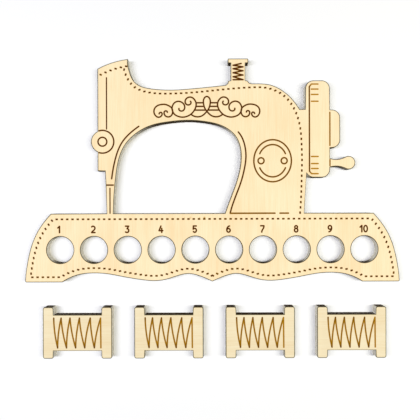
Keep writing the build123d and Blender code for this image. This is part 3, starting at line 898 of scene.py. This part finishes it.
def kerf_tree():
    """The laser's marks: thin upright strips at a steady pitch along the rims of a board."""
    tree, sockets_in, sockets_out = new_tree("kerf_marks", (
        ("Pitch", "NodeSocketFloat"), ("Width", "NodeSocketFloat"), ("Depth", "NodeSocketFloat"),
        ("Height", "NodeSocketFloat"), ("Seed", "NodeSocketInt"), ("Material", "NodeSocketMaterial"),
    ))
    given = sockets_in.outputs
    path = add_node(tree, "GeometryNodeMeshToCurve", {"Mesh": given["Geometry"]})
    steps = add_node(tree, "GeometryNodeResampleCurve", {
        "Curve": path.outputs["Curve"], "Length": given["Pitch"]}, mode="LENGTH")
    size = add_node(tree, "ShaderNodeCombineXYZ", {
        "X": given["Width"], "Y": given["Depth"], "Z": given["Height"]})
    rib = add_node(tree, "GeometryNodeMeshCube", {"Size": size.outputs["Vector"]})
    way = add_node(tree, "GeometryNodeInputTangent", {})
    turn = add_node(tree, "FunctionNodeAlignRotationToVector", {"Vector": way.outputs["Tangent"]}, axis="X")
    girth = add_node(tree, "FunctionNodeRandomValue", {
        "Min": KERF_LEAST, "Max": KERF_MOST, "Seed": given["Seed"]}, data_type="FLOAT_VECTOR")
    placed = add_node(tree, "GeometryNodeInstanceOnPoints", {
        "Points": steps.outputs["Curve"],
        "Instance": rib.outputs["Mesh"],
        "Rotation": turn.outputs["Rotation"],
        "Scale": girth.outputs["Value"],
    })
    end_tree(tree, sockets_in, sockets_out, placed.outputs["Instances"])
    return tree


def glue_tree():
    """Glue lines: a thin bead along the rims of a board."""
    tree, sockets_in, sockets_out = new_tree("glue_lines", (
        ("Radius", "NodeSocketFloat"), ("Material", "NodeSocketMaterial"),
    ))
    given = sockets_in.outputs
    path = add_node(tree, "GeometryNodeMeshToCurve", {"Mesh": given["Geometry"]})
    section = add_node(tree, "GeometryNodeCurvePrimitiveCircle", {
        "Resolution": GLUE_SIDES, "Radius": given["Radius"]})
    bead = add_node(tree, "GeometryNodeCurveToMesh", {
        "Curve": path.outputs["Curve"], "Profile Curve": section.outputs["Curve"]})
    end_tree(tree, sockets_in, sockets_out, bead.outputs["Mesh"])
    return tree


def grow(name, seed_mesh, tree, values):
    """Run a geometry tree on a mesh and keep the result as a plain mesh object."""
    seedling = bpy.data.objects.new(name + "_seed", seed_mesh)
    bpy.context.scene.collection.objects.link(seedling)
    modifier = seedling.modifiers.new("grow", "NODES")
    modifier.node_group = tree
    for item in tree.interface.items_tree:
        if item.in_out == "INPUT" and item.name in values:
            modifier[item.identifier] = values[item.name]
    bpy.context.view_layer.update()
    graph = bpy.context.evaluated_depsgraph_get()
    mesh = bpy.data.meshes.new_from_object(seedling.evaluated_get(graph))
    seedling.modifiers.remove(modifier)
    bpy.data.objects.remove(seedling)
    mesh.name = name
    low, high = CAD_BOX
    for vert in mesh.vertices:
        vert.co.x = min(max(vert.co.x, low[0] + TOUCH), high[0] - TOUCH)
        vert.co.y = min(max(vert.co.y, low[1] + TOUCH), high[1] - TOUCH)
    if not mesh.polygons:
        raise RuntimeError(f"{name} came out empty")
    return put(name, mesh, ())


def loop_mesh(name, loops, levels):
    """A mesh of closed wires: each loop at each level."""
    points, edges = [], []
    for level in levels:
        for loop in loops:
            start = len(points)
            points += [(point.x * MM, point.y * MM, level) for point in loop]
            edges += [(start + i, start + (i + 1) % len(loop)) for i in range(len(loop))]
    mesh = bpy.data.meshes.new(name)
    mesh.from_pydata(points, edges, [])
    return mesh


VENEERS = {}


# Operators

class THREAD_RACK_OT_materials(bpy.types.Operator):
    """Make the birch, the burns and the cut edges: char, with painted soft shade on those that face along X
    """
    bl_idname = "thread_rack.materials"
    bl_label = "Make materials"

    def execute(self, context):
        colours = context.scene.thread_rack_colours
        grain_group()
        scorch_and_shade_group()
        char_and_painted_shade_group()
        for birch in BIRCHES:
            birch_material(*birch)
        char_and_painted_shade_material("cut_edge_face", FACE_PALE)
        char_and_painted_shade_material("cut_edge_core", CORE_PALE)
        burn_material("stitch_char", colours.burnt_dark, [c * STITCH_GOLD_SHARE for c in colours.burnt_gold])
        burn_material("glue_char", colours.char_dark, [c * GLUE_LIGHT_SHARE for c in colours.char_dark])
        return {"FINISHED"}


class THREAD_RACK_OT_faces(bpy.types.Operator):
    """Rebuild the burnt face veneer of every board with rounded edges and troughs"""
    bl_idname = "thread_rack.faces"
    bl_label = "Burn faces"

    def execute(self, context):
        for board in BOARDS:
            veneer = VENEERS[board] = Veneer(board)
            shape = face_mesh(veneer)
            mesh = bpy.data.meshes.new(f"{board}_face")
            shape.to_mesh(mesh)
            shape.free()
            mesh.shade_smooth()
            mesh.set_sharp_from_angle(angle=SHARP_ANGLE)
            birch = "rack_birch" if board == "rack" else "bobbin_birch"
            piece = put(f"{board}_face", mesh, (birch, "cut_edge_face"))
            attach(piece, board)
            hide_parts(veneer.node)
        return {"FINISHED"}


class THREAD_RACK_OT_plies(bpy.types.Operator):
    """Finish the core and back veneers: cut edges of char with painted soft shade, and bare birch on the back
    """
    bl_idname = "thread_rack.plies"
    bl_label = "Finish plies"

    def execute(self, context):
        for board in BOARDS:
            birch = "rack_back_birch" if board == "rack" else "bobbin_back_birch"
            for ply, edge in (("core", "cut_edge_core"), ("back", "cut_edge_face")):
                mesh = frame["nodes"][f"{board}_{ply}_veneer"].data
                mesh.materials.clear()
                mesh.materials.append(bpy.data.materials[birch])
                mesh.materials.append(bpy.data.materials[edge])
                for polygon in mesh.polygons:
                    polygon.material_index = 0 if abs(polygon.normal.z) > FLAT_NORMAL else 1
        return {"FINISHED"}


class THREAD_RACK_OT_stitches(bpy.types.Operator):
    """Lay a charred bed in every stitch of the rows"""
    bl_idname = "thread_rack.stitches"
    bl_label = "Char stitches"

    def execute(self, context):
        sizes = context.scene.thread_rack_sizes
        points, turns = [], []
        floor = FACE_LEVEL - sizes.groove_depth
        for loop in VENEERS["rack"].floors:
            corners = spread_out(loop, CORNER_MERGE)
            if len(corners) != STITCH_CORNERS:
                continue
            middle = sum(corners, Vector((0.0, 0.0))) / len(corners)
            way = max((b - a for a, b in zip(corners, corners[1:])), key=lambda side: side.length)
            points.append((middle.x * MM, middle.y * MM, floor))
            turns.append(Vector((0.0, 0.0, math.atan2(way.y, way.x))))
        mesh = bpy.data.meshes.new("stitch_places")
        mesh.from_pydata(points, [], [])
        turn = mesh.attributes.new("turn", "FLOAT_VECTOR", "POINT")
        for item, value in zip(turn.data, turns):
            item.vector = value
        piece = grow("rack_stitch_beds", mesh, stitch_tree(), {
            "Length": sizes.stitch_length,
            "Width": sizes.stitch_width,
            "Height": sizes.groove_depth / BED_PARTS,
            "Crumble": sizes.groove_depth / BED_PARTS,
            "Seed": sizes.seed,
            "Material": bpy.data.materials["stitch_char"],
        })
        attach(piece, "rack")
        return {"FINISHED"}


class THREAD_RACK_OT_kerfs(bpy.types.Operator):
    """Score the laser's marks up every cut edge"""
    bl_idname = "thread_rack.kerfs"
    bl_label = "Score edges"

    def execute(self, context):
        sizes = context.scene.thread_rack_sizes
        tree = kerf_tree()
        tall = FACE_LEVEL - 2 * sizes.edge_round
        for board in BOARDS:
            mesh = loop_mesh(f"{board}_kerf_paths", VENEERS[board].cuts, (tall / 2,))
            piece = grow(f"{board}_kerf_marks", mesh, tree, {
                "Pitch": sizes.kerf_pitch,
                "Width": sizes.kerf_width,
                "Depth": sizes.kerf_depth,
                "Height": tall,
                "Seed": sizes.seed,
                "Material": bpy.data.materials["cut_edge_core"],
            })
            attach(piece, board)
        return {"FINISHED"}


class THREAD_RACK_OT_glue_lines(bpy.types.Operator):
    """Run the two glue lines round every board"""
    bl_idname = "thread_rack.glue_lines"
    bl_label = "Glue lines"

    def execute(self, context):
        sizes = context.scene.thread_rack_sizes
        tree = glue_tree()
        for board in BOARDS:
            mesh = loop_mesh(f"{board}_glue_paths", VENEERS[board].cuts, (CORE_FOOT, CORE_TOP))
            piece = grow(f"{board}_glue_lines", mesh, tree, {
                "Radius": sizes.glue_radius,
                "Material": bpy.data.materials["glue_char"],
            })
            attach(piece, board)
        return {"FINISHED"}


class THREAD_RACK_OT_stage(bpy.types.Operator):
    """Set the white floor, the soft light and the camera above"""
    bl_idname = "thread_rack.stage"
    bl_label = "Set stage"

    def execute(self, context):
        scene = context.scene
        colours = scene.thread_rack_colours
        shader = start_material("floor_paper", PAPER_ROUGHNESS)[1]
        shader.inputs["Base Color"].default_value = (*colours.floor, 1.0)
        mesh = bpy.data.meshes.new("floor")
        corners = ((-1, -1), (1, -1), (1, 1), (-1, 1))
        mesh.from_pydata(
            [(x * FLOOR_HALF, y * FLOOR_HALF, FLOOR_LEVEL) for x, y in corners], [], [(0, 1, 2, 3)])
        floor = put("floor", mesh, ("floor_paper",))

        world = bpy.data.worlds.new("studio")
        world.use_nodes = True
        sky = world.node_tree.nodes["Background"]
        sky.inputs["Color"].default_value = (1.0, 1.0, 1.0, 1.0)
        sky.inputs["Strength"].default_value = SKY_STRENGTH
        scene.world = world
        for name, side, colour in LAMPS:
            light = bpy.data.lights.new(name, "AREA")
            light.shape = "RECTANGLE"
            light.size, light.size_y = LAMP_SIZE
            light.energy = LAMP_ENERGY
            light.color = colour
            lamp = bpy.data.objects.new(name, light)
            lamp.location = (side * LAMP_PLACE[0], *LAMP_PLACE[1:])
            lamp.visible_camera = False
            aim = Vector((side * LAMP_AIM[0], *LAMP_AIM[1:])) - lamp.location
            lamp.rotation_euler = aim.to_track_quat("-Z", "Y").to_euler()
            scene.collection.objects.link(lamp)

        camera = bpy.data.cameras.new("photo_camera")
        camera.sensor_fit = "HORIZONTAL"
        camera.sensor_width = SENSOR
        camera.lens = SENSOR * VIEW_AWAY / VIEW_ACROSS
        camera.clip_start = CLIP_START
        viewer = bpy.data.objects.new("photo_camera", camera)
        viewer.location = (*VIEW_MIDDLE, FACE_LEVEL + VIEW_AWAY)
        viewer.rotation_euler = Euler((0.0, 0.0, math.radians(VIEW_TURN)))
        scene.collection.objects.link(viewer)
        scene.camera = viewer
        scene.view_settings.view_transform = "Standard"
        scene.view_settings.look = "None"
        return {"FINISHED"}


class THREAD_RACK_PT_panel(bpy.types.Panel):
    """Lists the steps in order, with the sizes and the colours"""
    bl_idname = "THREAD_RACK_PT_panel"
    bl_label = "Thread Rack"
    bl_space_type = "VIEW_3D"
    bl_region_type = "UI"
    bl_category = "Thread Rack"

    def draw(self, context):
        for step in STEPS:
            self.layout.operator(step.bl_idname)
        for group in (context.scene.thread_rack_sizes, context.scene.thread_rack_colours):
            for name in group.__annotations__:
                self.layout.prop(group, name)


STEPS = (
    THREAD_RACK_OT_materials,
    THREAD_RACK_OT_faces,
    THREAD_RACK_OT_plies,
    THREAD_RACK_OT_stitches,
    THREAD_RACK_OT_kerfs,
    THREAD_RACK_OT_glue_lines,
    THREAD_RACK_OT_stage,
)
CLASSES = (ThreadRackSizes, ThreadRackColours, *STEPS, THREAD_RACK_PT_panel)


def register():
    for item in CLASSES:
        bpy.utils.register_class(item)
    bpy.types.Scene.thread_rack_sizes = PointerProperty(type=ThreadRackSizes)
    bpy.types.Scene.thread_rack_colours = PointerProperty(type=ThreadRackColours)


def unregister():
    del bpy.types.Scene.thread_rack_colours
    del bpy.types.Scene.thread_rack_sizes
    for item in reversed(CLASSES):
        bpy.utils.unregister_class(item)


def main():
    """Dress the rack in order."""
    register()
    bpy.ops.thread_rack.materials()
    bpy.ops.thread_rack.faces()
    bpy.ops.thread_rack.plies()
    bpy.ops.thread_rack.stitches()
    bpy.ops.thread_rack.kerfs()
    bpy.ops.thread_rack.glue_lines()
    bpy.ops.thread_rack.stage()


if __name__ == "__main__":
    main()
